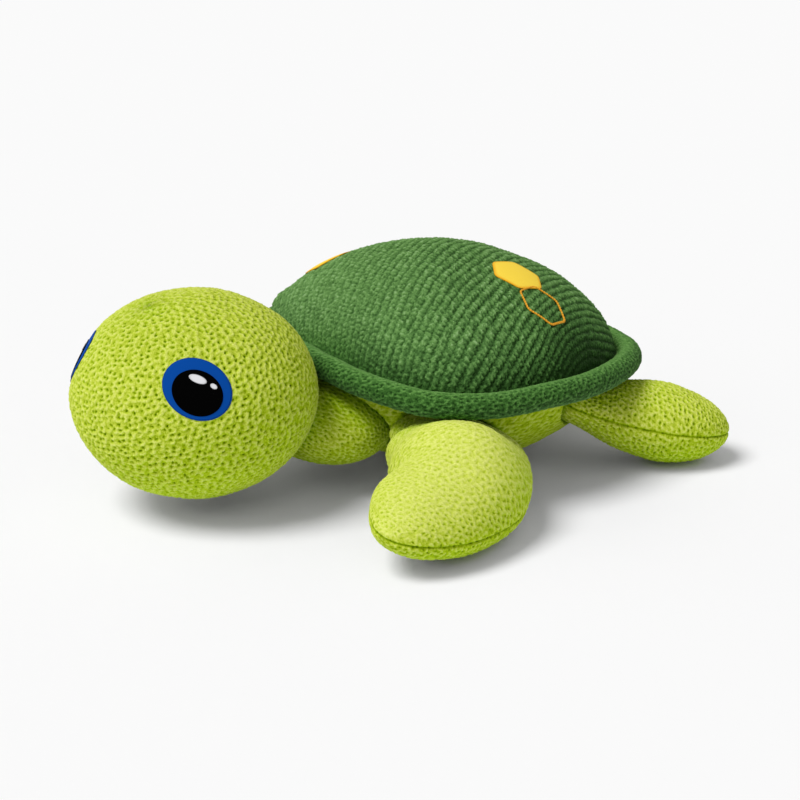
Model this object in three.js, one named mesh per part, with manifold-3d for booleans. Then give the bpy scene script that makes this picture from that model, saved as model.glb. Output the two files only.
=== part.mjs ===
// A stuffed knit sea turtle: a light green body, neck, head and four flippers, under a dark green padded shell.
// Millimetres, +Z up, nose towards -Y, the turtle's left is +X. It rests on z = 0, and the middle of its
// flat belly is the origin. Each cover is a knit skin round its own fibre filling.
import * as THREE from 'three';
import { mergeVertices } from 'three/addons/utils/BufferGeometryUtils.js';
import Module from 'manifold-3d';

const wasm = await Module();
wasm.setup();

// Cloth and sewing
const knit = 2; // thickness of a knit cover
const felt = 0.5; // thickness of a felt patch
const seamGap = 0.3; // room between two pieces that are sewn to each other
const rootGap = 0.6; // room round a root that bends in its seat
const restCut = 0.5; // how deep the flat that it rests on cuts into a round form
const overrun = 100; // how far a cutter runs past what it cuts

// Shell: the rim's centre line in plan, wide and blunt at the front and narrower at the rear
const shellHalfWidth = 96.3;
const shellRearLength = 95.5;
const shellFrontLength = 77.2;
const shellCentreY = -4;
const shellFrontPower = 2.8; // 2 would be an ellipse, more is blunter
const shellTaperShare = 0.137; // how much of the width the rear loses and the front gains
// Heights of the rim's centre line
const rimHeight = 54.2;
const rimPitch = 5.4; // rises this much at the front and falls this much at the rear
const rimSaddle = 1.1; // the sides stand this much higher, and the ends lower
const rimWave = 1.2; // lifts and drops what lies between the ends and the sides
// The rolled rim's section
const rimHalfWidth = 6.9;
const rimHalfHeight = 6.2;
const rimSlotShare = 0.16; // share of the round section left open where the shell is sewn in
// Dome
const domeRise = 53.4; // from the rim's centre line to the top
const domePower = 1.13; // above 1 pulls the flanks in between the rim and the top
const domeLean = 0.05; // the front is this much hollower than the sides, and the rear fuller
const shellSpaceShare = 1.6; // how far past its edge the base is carried on where it cuts the body

// Body, an egg that lies under the shell
const bodyHalfWidth = 72;
const bodyHalfLength = 80;
const bodyHalfHeight = 47.5;

// Head, round in plan so that it can turn in its seat
const headRadius = 57.3;
const headHalfHeight = 48.1;
const headCentre = new THREE.Vector3(11.1, -146.4, 55.8);
const headTurn = THREE.MathUtils.degToRad(18.75); // it looks to the turtle's left
const throatRadius = 13; // opening where the neck's filling meets the head's

// Neck, a puffy lobe that seats in the front of the body and nods about a cross axis
const neckHalfWidth = 45;
const neckHalfLength = 32;
const neckHalfHeight = 20.5;
const neckCentre = new THREE.Vector3(3, -76.5, 30.5);
const neckPivotY = -66.5;
const neckNodDegrees = [0, 10, 20];

// Front and rear flippers, bent limbs that are thinner at the root: the middle line's three control points, half
// the width and thickness at the fullest, what share of them the root has, and where along the line the limb has
// swelled to the full and where it starts to round off
const frontFlipper = {
  line: [new THREE.Vector3(56.5, -39.5, 28.6), new THREE.Vector3(104, -36.5, 19.4), new THREE.Vector3(138.5, -118, 21.5)],
  halfWidth: 33.3,
  halfThickness: 22,
  rootWidthShare: 0.93,
  rootThicknessShare: 0.6,
  swellShare: 0.32,
  fullShare: 0.52,
  undersideShare: 0.98,
  rollDegrees: -15,
  bendDegrees: [-32, 0, 8],
};
const rearFlipper = {
  line: [new THREE.Vector3(50, 39.5, 34), new THREE.Vector3(63.4, 60.9, 20.6), new THREE.Vector3(84.3, 111.2, 13.7)],
  halfWidth: 26,
  halfThickness: 20,
  rootWidthShare: 0.95,
  rootThicknessShare: 0.58,
  swellShare: 0.63,
  fullShare: 0.63,
  undersideShare: 0.96,
  rollDegrees: -4.5,
  bendDegrees: [-25, 4],
};

// Eyes: layers of felt on the head, placed by their direction from the head's centre before it turns
const eye = {
  sideDegrees: 48.75,
  upDegrees: 19,
  tiltDegrees: -34,
  irisHalfWidth: 16.8,
  irisHalfHeight: 13.8,
  pupilHalfWidth: 12,
  pupilHalfHeight: 10.1,
  pupilDrop: 1.8,
  largeGlintHalfWidth: 4.2,
  largeGlintHalfHeight: 1.8,
  largeGlintAcross: 0.4,
  largeGlintUp: 4.4,
  largeGlintTiltDegrees: -24,
  smallGlintHalfWidth: 1.85,
  smallGlintHalfHeight: 1.2,
  smallGlintAcross: 7.4,
  smallGlintUp: 0.9,
};

// Shell patches: pairs of hexagons that share a side, one of whole felt and a smaller one of stitched outline.
// A pair's place is given as shares of the shell's half width and of its front or rear length.
const hexagonRadius = 14.2;
const hexagonSides = 6;
const outlineShare = 0.79; // of the whole one's radius
const outlineWidth = 1.3;
const patchPairs = [
  { name: 'left', widthShare: 0.415, rearShare: 0.1675, turnDegrees: 154 },
  { name: 'right', widthShare: -0.633, rearShare: -0.421, turnDegrees: 68 },
];

// Facets
const shellSteps = 40;
const domeSteps = 7;
const liningSteps = 5;
const rimSteps = 7;
const rimInnerSteps = 4;
const limbSteps = 10;
const limbCapSteps = 2;
const limbArcs = 7;
const limbInnerArcs = 4;
const ballFacets = [28, 14]; // round and over the largest covers
const smallBallFacets = [20, 10];
const liningFacets = [16, 8];
const eyeArcs = 18;
const patchRings = 2;
const edgeSteps = 2;
const searchSteps = 24;
const coarseArcs = 12;
const coarseGap = 1.7; // room round a coarse cutter, whose facets lie inside the true form
const weldDistance = 0.001;

const up = new THREE.Vector3(0, 0, 1);
const right = THREE.MathUtils.degToRad(90);
const whole = 2 * Math.PI;

// Materials
const cloth = (color, roughness) => new THREE.MeshStandardMaterial({ color, roughness, metalness: 0 });
const lightKnit = cloth('#b4c83e', 0.95);
const darkKnit = cloth('#567c47', 0.95);
const fibre = cloth('#f1efe8', 1);
const blueFelt = cloth('#0356bb', 0.8);
const blackFelt = cloth('#050505', 0.75);
const whiteFelt = cloth('#eceef0', 0.7);
const yellowFelt = cloth('#f8d547', 0.85);
const orangeThread = cloth('#d9901f', 0.8);

const turtle = new THREE.Group();

// The closed surface of a geometry as a solid
function solidOf(geometry) {
  const bare = geometry.clone();
  bare.deleteAttribute('normal');
  bare.deleteAttribute('uv');
  const merged = mergeVertices(bare, weldDistance);
  const index = merged.index.array;
  const faces = [];
  for (let i = 0; i < index.length; i += 3) {
    const [a, b, c] = index.slice(i, i + 3);
    if (a !== b && b !== c && c !== a) faces.push(a, b, c);
  }
  return new wasm.Manifold(new wasm.Mesh({
    numProp: 3,
    vertProperties: merged.attributes.position.array,
    triVerts: new Uint32Array(faces),
  }));
}

// A solid from a flat list of triangle corners
function solidFromCorners(corners) {
  const geometry = new THREE.BufferGeometry();
  geometry.setAttribute('position', new THREE.Float32BufferAttribute(corners.flatMap((p) => p.toArray()), 3));
  return solidOf(geometry);
}

// A solid through rings of points. A ring of one point is a pole. A closed loft joins its last ring to its first.
function loft(rings, closed = false) {
  const corners = [];
  const pairs = closed ? rings.length : rings.length - 1;
  for (let i = 0; i < pairs; i++) {
    const near = rings[i];
    const far = rings[(i + 1) % rings.length];
    const count = Math.max(near.length, far.length);
    for (let j = 0; j < count; j++) {
      const next = (j + 1) % count;
      const [a, b] = [near[j % near.length], near[next % near.length]];
      const [c, d] = [far[next % far.length], far[j % far.length]];
      corners.push(a, b, c, a, c, d);
    }
  }
  return solidFromCorners(corners);
}

// An ellipsoid with its poles on the vertical
function ball(centre, radiusX, radiusY, radiusZ, around, over) {
  const geometry = new THREE.SphereGeometry(1, around, over);
  geometry.rotateX(right).scale(radiusX, radiusY, radiusZ).translate(...centre.toArray());
  return solidOf(geometry);
}

function addMesh(name, solid, material) {
  const made = solid.getMesh();
  const geometry = new THREE.BufferGeometry();
  geometry.setAttribute('position', new THREE.BufferAttribute(made.vertProperties, 3));
  geometry.setIndex(new THREE.BufferAttribute(made.triVerts, 1));
  const mesh = new THREE.Mesh(geometry, material);
  mesh.name = name;
  turtle.add(mesh);
  return mesh;
}

// A solid turned about an axis through a point, or mirrored left to right
function turned(solid, point, axis, degrees) {
  const matrix = new THREE.Matrix4().makeTranslation(point)
    .multiply(new THREE.Matrix4().makeRotationAxis(axis, THREE.MathUtils.degToRad(degrees)))
    .multiply(new THREE.Matrix4().makeTranslation(point.clone().negate()));
  return solid.transform(matrix.elements);
}
const mirrored = (solid) => solid.transform(new THREE.Matrix4().makeScale(-1, 1, 1).elements);

// Shell

// The rim's centre line at an angle in plan, from the turtle's left through the rear, and its outward direction.
// The front half is a blunter oval than the rear half.
function rimCentre(angle) {
  const [across, along] = [Math.cos(angle), Math.sin(angle)];
  const power = along < 0 ? shellFrontPower : 2;
  const reach = (Math.abs(across) ** power + Math.abs(along) ** power) ** (-1 / power);
  const length = along < 0 ? shellFrontLength : shellRearLength;
  const backShare = Math.sign(along) * (Math.abs(along) * reach) ** (power / 2);
  return new THREE.Vector3(
    shellHalfWidth * across * reach * (1 - shellTaperShare * backShare),
    shellCentreY + length * along * reach,
    rimHeight - rimPitch * backShare + rimSaddle * (1 - 2 * backShare ** 2)
      + rimWave * backShare * (3 - 4 * backShare ** 2),
  );
}

const turnStep = whole / shellSteps;
function rimFrame(angle) {
  const centre = rimCentre(angle);
  const along = rimCentre(angle + turnStep / 4).sub(rimCentre(angle - turnStep / 4));
  const outward = new THREE.Vector3(along.y, -along.x, 0).normalize();
  return { centre, outward };
}

// A point of the rolled rim, by angle round the shell and angle round the roll from straight outward
function rimPoint(angle, rollAngle, inset) {
  const { centre, outward } = rimFrame(angle);
  return centre.addScaledVector(outward, (rimHalfWidth - inset) * Math.cos(rollAngle))
    .addScaledVector(up, (rimHalfHeight - inset) * Math.sin(rollAngle));
}

const shellAngles = Array.from({ length: shellSteps }, (_, i) => i * turnStep);
const steps = (count) => Array.from({ length: count + 1 }, (_, i) => i / count);

// The roll's section runs from one lip of its slot round to the other. The slot faces inward, and the dome
// and the base panel are sewn in there.
const rollSlot = rimSlotShare * Math.PI;
const rollAngle = (share) => Math.PI - rollSlot - share * (whole - 2 * rollSlot);

// The whole roll as a solid, inset evenly, and its cover
function rimRoll(inset, arcs) {
  return loft(shellAngles.map((angle) => steps(arcs)
    .map((share) => rimPoint(angle, rollAngle(share), inset))), true);
}
function rimSkin() {
  return loft(shellAngles.map((angle) => [
    ...steps(rimSteps).map((share) => rimPoint(angle, rollAngle(share), 0)),
    ...steps(rimInnerSteps).reverse().map((share) => rimPoint(angle, rollAngle(share), knit)),
  ]), true);
}

// The shell's base is a shallow cone from its edge inside the rim to its middle
const shellMiddle = new THREE.Vector3(0, shellCentreY, rimHeight);
const baseLift = knit / 2 + seamGap; // from the base panel's middle to what lies on it or under it
function basePoint(angle, share, inset, lift) {
  const { centre, outward } = rimFrame(angle);
  const edge = centre.addScaledVector(outward, -(rimHalfWidth + seamGap + inset));
  return shellMiddle.clone().lerp(edge, share).addScaledVector(up, lift);
}

// How far along the dome's slope a point stands: the share of the base's radius and of the rise
function domeShares(angle, slope) {
  const power = domePower - domeLean * Math.sin(angle);
  return [Math.cos(slope) ** power, Math.sin(slope) ** power];
}
function domeRing(slopeShare, inset) {
  if (slopeShare === 1) return [basePoint(0, 0, 0, domeRise - inset)];
  return shellAngles.map((angle) => {
    const [share, rise] = domeShares(angle, slopeShare * right);
    return basePoint(angle, share, inset, baseLift + (domeRise - baseLift - inset) * rise);
  });
}

// A dome solid down to the base panel, and the dome's cover between two such surfaces
function domeSolid(inset, count) {
  return loft([[basePoint(0, 0, 0, baseLift)], ...steps(count).map((share) => domeRing(share, inset))]);
}
function domeSkin() {
  return loft([
    ...steps(liningSteps).reverse().map((share) => domeRing(share, knit)),
    ...steps(domeSteps).map((share) => domeRing(share, 0)),
  ]);
}

// A flat-lying sheet on the base cone, between two heights
function baseSheet(share, inset, low, high) {
  const ring = (lift) => shellAngles.map((angle) => basePoint(angle, share, inset, lift));
  return loft([[basePoint(0, 0, 0, low)], ring(low), ring(high), [basePoint(0, 0, 0, high)]]);
}

addMesh('shell_cover', domeSkin(), darkKnit);
addMesh('shell_filling', domeSolid(knit + seamGap, liningSteps), fibre);
addMesh('shell_base_panel', baseSheet(1, 0, -knit / 2, knit / 2), darkKnit);
addMesh('shell_rim_cover', rimSkin(), darkKnit);
addMesh('shell_rim_filling', rimRoll(knit + seamGap, rimInnerSteps), fibre);

// Flippers

// Stations of a limb, inset evenly: its middle, its half width and half thickness, and its directions.
// The root is rounded about the cross line that it bends on, and the tip is rounded from the fullest place on.
function limbStations(limb, inset) {
  const [root, bend, tip] = limb.line;
  const first = bend.clone().sub(root);
  const last = tip.clone().sub(bend);
  const roll = THREE.MathUtils.degToRad(limb.rollDegrees);
  const endShare = 1 - inset / (2 * last.length());
  const at = (share) => {
    const s = Math.min(share, 1);
    const middle = root.clone().multiplyScalar((1 - s) ** 2)
      .addScaledVector(bend, 2 * s * (1 - s)).addScaledVector(tip, s ** 2);
    const forward = first.clone().multiplyScalar(1 - s).addScaledVector(last, s).normalize();
    const level = up.clone().cross(forward).normalize();
    const upright = forward.clone().cross(level);
    const side = level.clone().multiplyScalar(Math.cos(roll)).addScaledVector(upright, Math.sin(roll));
    return { middle, forward, side, over: forward.clone().cross(side) };
  };
  const rootWidth = limb.halfWidth * limb.rootWidthShare - inset;
  const rootThickness = limb.halfThickness * limb.rootThicknessShare - inset;
  const cap = steps(limbCapSteps).slice(0, limbCapSteps).map((share) => {
    const angle = right * (1 - share);
    const frame = at(0);
    frame.middle.addScaledVector(frame.forward, -rootThickness * Math.sin(angle));
    const size = share === 0 ? 0 : Math.cos(angle);
    return { ...frame, width: rootWidth * size, thickness: rootThickness * size };
  });
  const body = steps(limbSteps).map((step) => {
    const share = 1 - (1 - step) ** 1.5;
    const swell = THREE.MathUtils.smoothstep(share / limb.swellShare, 0, 1);
    const past = Math.max(0, (share - limb.fullShare) / (1 - limb.fullShare));
    const round = Math.sqrt(Math.max(0, 1 - past ** 2));
    return {
      ...at(share * endShare),
      width: (THREE.MathUtils.lerp(rootWidth, limb.halfWidth - inset, swell)) * round,
      thickness: (THREE.MathUtils.lerp(rootThickness, limb.halfThickness - inset, swell)) * round,
    };
  });
  return [...cap, ...body];
}

// A point of a station's oval section, whose underside is a little flatter
function limbPoint(limb, station, angle, lift = 0) {
  const over = Math.sin(angle) * (Math.sin(angle) < 0 ? limb.undersideShare : 1);
  return station.middle.clone().addScaledVector(station.side, station.width * Math.cos(angle))
    .addScaledVector(station.over, station.thickness * over + lift);
}

function limbSolid(limb, inset, arcs) {
  return loft(limbStations(limb, inset).map((station) => (station.width > 0
    ? steps(arcs).slice(1).map((share) => limbPoint(limb, station, whole * share))
    : [station.middle])));
}

// One half of a limb's cover, from its seam over the top or under the bottom to the other seam
function limbHalf(limb, startAngle, lift) {
  const grid = (inset, arcs) => limbStations(limb, inset).map((station) => steps(arcs)
    .map((share) => limbPoint(limb, station, startAngle + share * Math.PI, lift)));
  const outer = grid(0, limbArcs);
  const inner = grid(knit, limbInnerArcs);
  const corners = [];
  const quad = (a, b, c, d) => corners.push(a, b, c, a, c, d);
  for (let i = 0; i + 1 < outer.length; i++) {
    for (let j = 0; j < limbArcs; j++) quad(outer[i][j], outer[i][j + 1], outer[i + 1][j + 1], outer[i + 1][j]);
    for (let j = 0; j < limbInnerArcs; j++) quad(inner[i][j], inner[i + 1][j], inner[i + 1][j + 1], inner[i][j + 1]);
    quad(outer[i][0], outer[i + 1][0], inner[i + 1][0], inner[i][0]);
    quad(outer[i][limbArcs], inner[i][limbInnerArcs], inner[i + 1][limbInnerArcs], outer[i + 1][limbArcs]);
  }
  return solidFromCorners(corners);
}

// Everything below the floor, which is cut off so that what stands on it has a flat to stand on
const floorSlab = solidOf(new THREE.BoxGeometry(4 * overrun, 4 * overrun, overrun)
  .translate(0, 0, -overrun / 2));

// The space that a limb needs in the body as it bends on its root: a seat round the rounded root, and the
// coarse limb at a few bends
function limbSpaces(limb) {
  const root = limbStations(limb, -coarseGap)[limbCapSteps];
  const { middle, side, over, forward } = root;
  const seat = new THREE.SphereGeometry(1, coarseArcs, coarseArcs - 2);
  seat.applyMatrix4(new THREE.Matrix4().makeBasis(
    over.clone().multiplyScalar(root.thickness),
    side.clone().multiplyScalar(root.width),
    forward.clone().multiplyScalar(-root.thickness),
  ).setPosition(middle));
  const coarse = limbStations(limb, -coarseGap).filter((_, i) => i >= limbCapSteps && (i - limbCapSteps) % 2 === 0);
  const swing = loft([[middle], ...coarse.map((station) => (station.width > 0
    ? steps(coarseArcs).slice(1).map((share) => limbPoint(limb, station, whole * share))
    : [station.middle]))]);
  return [solidOf(seat), ...limb.bendDegrees.map((degrees) => turned(swing, middle, side, -degrees))];
}

const bendSpaces = [];
for (const [name, limb] of [['front', frontFlipper], ['rear', rearFlipper]]) {
  const halves = {
    top: limbHalf(limb, 0, seamGap / 2),
    bottom: limbHalf(limb, Math.PI, -seamGap / 2).subtract(floorSlab),
    filling: limbSolid(limb, knit + seamGap, 2 * limbInnerArcs),
  };
  for (const [side, place] of [['left', (solid) => solid], ['right', mirrored]]) {
    addMesh(`${name}_${side}_flipper_top`, place(halves.top), lightKnit);
    addMesh(`${name}_${side}_flipper_bottom`, place(halves.bottom), lightKnit);
    addMesh(`${name}_${side}_flipper_filling`, place(halves.filling), fibre);
    bendSpaces.push(...limbSpaces(limb).map(place));
  }
}

// Neck

function neckBall(inset, around, over) {
  return ball(neckCentre, neckHalfWidth - inset, neckHalfLength - inset, neckHalfHeight - inset, around, over);
}
function headBall(inset, around, over) {
  return ball(headCentre, headRadius - inset, headRadius - inset, headHalfHeight - inset, around, over);
}

// The throat joins the neck's filling to the head's through both covers
const throatAxis = neckCentre.clone().sub(headCentre).setZ(0).normalize();
function throat(radius) {
  const reach = headCentre.distanceTo(neckCentre);
  const geometry = new THREE.CylinderGeometry(radius, radius, reach, eyeArcs);
  geometry.applyQuaternion(new THREE.Quaternion().setFromUnitVectors(new THREE.Vector3(0, 1, 0), throatAxis));
  const middle = headCentre.clone().addScaledVector(throatAxis, reach / 2).setZ(neckCentre.z + throatRadius / 2);
  return solidOf(geometry.translate(...middle.toArray()));
}
const neckHollow = neckBall(knit, ...liningFacets).subtract(headBall(-rootGap - knit, ...smallBallFacets));
addMesh('neck_cover', neckBall(0, ...smallBallFacets).subtract(neckHollow)
  .subtract(headBall(-rootGap, ...ballFacets)).subtract(throat(throatRadius)), lightKnit);
addMesh('neck_filling', neckBall(knit + seamGap, ...liningFacets)
  .subtract(headBall(-rootGap - knit - seamGap, ...smallBallFacets)), fibre);

// Body

const shellSpace = baseSheet(shellSpaceShare, 0, -baseLift, overrun);
const neckPivot = new THREE.Vector3(neckCentre.x, neckPivotY, neckCentre.z);
const nodSpaces = neckNodDegrees.map((degrees) => turned(
  neckBall(-rootGap, ...smallBallFacets), neckPivot, new THREE.Vector3(1, 0, 0), degrees,
));
const bodyCentre = new THREE.Vector3(0, 0, bodyHalfHeight - restCut);
function bodyBall(inset, around, over) {
  return ball(bodyCentre, bodyHalfWidth - inset, bodyHalfLength - inset, bodyHalfHeight - inset, around, over);
}
const bodyCutters = [shellSpace, rimRoll(-seamGap, rimSteps), floorSlab, ...bendSpaces, ...nodSpaces];
const bodySkin = bodyBall(0, ...ballFacets).subtract(bodyBall(knit, ...liningFacets));
addMesh('body_cover', bodyCutters.reduce((solid, cutter) => solid.subtract(cutter), bodySkin), lightKnit);
addMesh('body_filling', bodyCutters.reduce(
  (solid, cutter) => solid.subtract(cutter), bodyBall(knit + seamGap, ...liningFacets),
), fibre);

// Head

addMesh('head_cover', headBall(0, ...ballFacets).subtract(headBall(knit, ...liningFacets))
  .subtract(throat(throatRadius)), lightKnit);
addMesh('head_filling', headBall(knit + seamGap, ...liningFacets), fibre);

// A thin patch between two heights over a curved surface. outline(angle) gives its edge, and place(x, y, height)
// puts a point of it on the surface.
function patch(outline, place, low, high, arcs) {
  const ring = (size, height) => steps(arcs).slice(1).map((share) => {
    const [x, y] = outline(whole * share);
    return place(x * size, y * size, height);
  });
  const sizes = steps(patchRings).slice(1);
  return loft([
    [place(0, 0, low)],
    ...sizes.map((size) => ring(size, low)),
    ...sizes.reverse().map((size) => ring(size, high)),
    [place(0, 0, high)],
  ]);
}

const headTurned = new THREE.Matrix4().makeRotationZ(headTurn);
const headRadii = new THREE.Vector3(headRadius, headRadius, headHalfHeight);

// A point on the head near the eye of one side, by its offset across and up the eye, and its height off the head
function onHead(side, across, rise, height) {
  const [turn, lift] = [eye.sideDegrees, eye.upDegrees].map(THREE.MathUtils.degToRad);
  const direction = new THREE.Vector3(side * Math.sin(turn) * Math.cos(lift), -Math.cos(turn) * Math.cos(lift),
    Math.sin(lift));
  const surface = (v) => v.clone().divideScalar(v.clone().divide(headRadii).length());
  const normal = (v) => v.clone().divide(headRadii).divide(headRadii).normalize();
  const middle = surface(direction);
  const level = up.clone().cross(normal(middle)).normalize();
  const upright = normal(middle).cross(level);
  const point = surface(middle.clone().addScaledVector(level, across).addScaledVector(upright, rise));
  return point.addScaledVector(normal(point), height).applyMatrix4(headTurned).add(headCentre);
}

// An oval layer of an eye, offset from the eye's middle, in the eye's own tilt
function eyeLayer(side, name, halfWidth, halfHeight, across, rise, layer, tiltDegrees, material, arcs) {
  const tilt = THREE.MathUtils.degToRad(tiltDegrees) * side;
  const outline = (angle) => {
    const [x, y] = [halfWidth * Math.cos(angle), halfHeight * Math.sin(angle)];
    return [x * Math.cos(tilt) - y * Math.sin(tilt), x * Math.sin(tilt) + y * Math.cos(tilt)];
  };
  const low = seamGap + layer * (felt + seamGap);
  const place = (x, y, height) => onHead(side, x + across, y + rise, height);
  addMesh(name, patch(outline, place, low, low + felt, arcs), material);
}

for (const [name, side] of [['left', 1], ['right', -1]]) {
  eyeLayer(side, `${name}_eye_iris`, eye.irisHalfWidth, eye.irisHalfHeight, 0, 0, 0, eye.tiltDegrees,
    blueFelt, eyeArcs);
  eyeLayer(side, `${name}_eye_pupil`, eye.pupilHalfWidth, eye.pupilHalfHeight, 0, -eye.pupilDrop, 1,
    eye.tiltDegrees, blackFelt, eyeArcs);
  eyeLayer(side, `${name}_eye_large_glint`, eye.largeGlintHalfWidth, eye.largeGlintHalfHeight,
    side * eye.largeGlintAcross, eye.largeGlintUp, 2, eye.largeGlintTiltDegrees, whiteFelt, eyeArcs / 2);
  eyeLayer(side, `${name}_eye_small_glint`, eye.smallGlintHalfWidth, eye.smallGlintHalfHeight,
    side * eye.smallGlintAcross, eye.smallGlintUp, 2, eye.tiltDegrees, whiteFelt, eyeArcs / 2);
}

// Shell patches

// The dome's surface over a place in plan: the angle round the shell is found by halving
function domeSurface(x, y) {
  const target = Math.atan2(y - shellMiddle.y, x);
  const bearing = (angle) => {
    const edge = basePoint(angle, 1, 0, 0).sub(shellMiddle);
    const off = Math.atan2(edge.y, edge.x) - target;
    return Math.atan2(Math.sin(off), Math.cos(off));
  };
  let [low, high] = [target - right / 2, target + right / 2];
  for (let i = 0; i < searchSteps; i++) {
    const middle = (low + high) / 2;
    if (bearing(middle) < 0) low = middle;
    else high = middle;
  }
  const edge = basePoint(low, 1, 0, 0).sub(shellMiddle);
  const share = Math.min(1, Math.hypot(x, y - shellMiddle.y) / Math.hypot(edge.x, edge.y));
  const power = domePower - domeLean * Math.sin(low);
  const rise = (1 - share ** (2 / power)) ** (power / 2);
  return new THREE.Vector3(x, y, shellMiddle.z + edge.z * share + baseLift + (domeRise - baseLift) * rise);
}
function domeNormal(x, y) {
  const slopeX = (domeSurface(x + felt, y).z - domeSurface(x - felt, y).z) / (2 * felt);
  const slopeY = (domeSurface(x, y + felt).z - domeSurface(x, y - felt).z) / (2 * felt);
  return new THREE.Vector3(-slopeX, -slopeY, 1).normalize();
}

// Places points round a middle on the dome, by offsets along the slope and across it
function domePlacer(x, y, turn) {
  const middle = domeSurface(x, y);
  const normal = domeNormal(x, y);
  const level = up.clone().cross(normal).normalize();
  const upright = normal.clone().cross(level);
  const first = level.clone().multiplyScalar(Math.cos(turn)).addScaledVector(upright, Math.sin(turn));
  const second = normal.clone().cross(first);
  return (u, v, height) => {
    const flat = middle.clone().addScaledVector(first, u).addScaledVector(second, v);
    return domeSurface(flat.x, flat.y).addScaledVector(domeNormal(flat.x, flat.y), height);
  };
}

// The edge of a hexagon with a corner straight ahead
const cornerTurn = whole / hexagonSides;
const apothem = (radius) => radius * Math.cos(cornerTurn / 2);
function hexagon(radius) {
  const corner = (k) => [radius * Math.cos(k * cornerTurn), radius * Math.sin(k * cornerTurn)];
  return (angle) => {
    const at = angle / cornerTurn;
    const [near, far] = [corner(Math.floor(at)), corner(Math.floor(at) + 1)];
    return near.map((value, i) => THREE.MathUtils.lerp(value, far[i], at - Math.floor(at)));
  };
}

const patchArcs = hexagonSides * edgeSteps;
const outlineRadius = hexagonRadius * outlineShare;
const outlinePitch = apothem(hexagonRadius) + apothem(outlineRadius) + 2 * seamGap;
for (const { name, widthShare, rearShare, turnDegrees } of patchPairs) {
  const length = rearShare < 0 ? shellFrontLength : shellRearLength;
  const place = domePlacer(shellHalfWidth * widthShare, shellCentreY + length * rearShare,
    THREE.MathUtils.degToRad(turnDegrees));
  addMesh(`${name}_filled_patch`, patch(hexagon(hexagonRadius), place, seamGap, seamGap + felt, patchArcs),
    yellowFelt);
  const [outer, inner] = [hexagon(outlineRadius), hexagon(outlineRadius - outlineWidth)];
  const beside = (u, v, height) => place(u, v + outlinePitch, height);
  const rings = steps(patchArcs).slice(1).map((share) => {
    const [a, b] = [inner(whole * share), outer(whole * share)];
    return [beside(...a, seamGap + felt), beside(...b, seamGap + felt), beside(...b, seamGap), beside(...a, seamGap)];
  });
  addMesh(`${name}_outline_patch`, loft(rings, true), orangeThread);
}

export default turtle;
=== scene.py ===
import math
import bpy
import numpy as np
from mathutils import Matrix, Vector


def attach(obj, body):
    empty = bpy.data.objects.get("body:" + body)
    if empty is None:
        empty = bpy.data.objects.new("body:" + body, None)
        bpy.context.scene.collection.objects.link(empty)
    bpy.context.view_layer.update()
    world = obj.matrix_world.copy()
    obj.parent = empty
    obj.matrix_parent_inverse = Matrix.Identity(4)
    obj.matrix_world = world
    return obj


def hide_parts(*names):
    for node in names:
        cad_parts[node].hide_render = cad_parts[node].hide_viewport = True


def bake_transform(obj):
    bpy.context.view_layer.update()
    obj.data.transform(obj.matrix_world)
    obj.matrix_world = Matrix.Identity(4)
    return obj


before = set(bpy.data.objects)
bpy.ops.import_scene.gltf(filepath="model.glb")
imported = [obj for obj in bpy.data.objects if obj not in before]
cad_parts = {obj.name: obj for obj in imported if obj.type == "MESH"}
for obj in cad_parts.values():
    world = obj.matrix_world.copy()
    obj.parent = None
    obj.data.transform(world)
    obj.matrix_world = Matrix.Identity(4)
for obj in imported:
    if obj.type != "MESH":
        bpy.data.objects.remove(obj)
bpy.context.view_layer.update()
print("frame loaded")

mm = 0.001  # shapes are worked out in millimetres, and Blender's unit is the metre
upward = np.array([0.0, 0.0, 1.0])
mirrorX = np.array([-1.0, 1.0, 1.0])
restHeight = 0.05  # the toy's lowest points, just above the floor
farOff = 9.0  # a share or a depth for points that are nowhere near


def sizeOf(v):
    # the length of each vector
    return np.linalg.norm(v, axis=-1)


def unit(v):
    # each vector divided by its length
    return v / sizeOf(v)[..., None]


def turned(x, y, degrees):
    # a turn in the plane: x cos a - y sin a, and x sin a + y cos a
    a = math.radians(degrees)
    return x * math.cos(a) - y * math.sin(a), x * math.sin(a) + y * math.cos(a)


def bell(off, reach, power=2):
    # 1 in the middle, and exp(-(off / reach) ** power) away from it
    return np.exp(-(off / reach) ** power)


def smoothStep(x):
    # 0 up to 0, 1 from 1 on, and x x (3 - 2 x) between
    x = np.clip(x, 0, 1)
    return x ** 2 * (3 - 2 * x)


def lengthAlong(line):
    # the sum of the steps between a line's points, up to each point
    return np.concatenate([[0], np.cumsum(sizeOf(np.diff(line, axis=0)))])


# Colours and nodes

def linear(hexColour):
    # each sRGB channel c becomes ((c + 0.055) / 1.055) ** 2.4, or c / 12.92 where it is dark
    c = np.array([int(hexColour[i:i + 2], 16) / 255 for i in (1, 3, 5)])
    return (*np.where(c <= 0.04045, c / 12.92, ((c + 0.055) / 1.055) ** 2.4), 1.0)


def addNode(tree, kind, inputs=(), **settings):
    # an input is another node's socket to link, or a value to set. What comes back is the node's outputs.
    node = tree.nodes.new("ShaderNode" + kind)
    for name, value in settings.items():
        setattr(node, name, value)
    for socket, value in dict(inputs).items():
        if isinstance(value, bpy.types.NodeSocket):
            tree.links.new(value, node.inputs[socket])
        else:
            node.inputs[socket].default_value = value
    return node.outputs


def newMaterial(name):
    material = bpy.data.materials.new(name)
    material.use_nodes = True
    material.node_tree.nodes.clear()
    return material, material.node_tree


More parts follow.
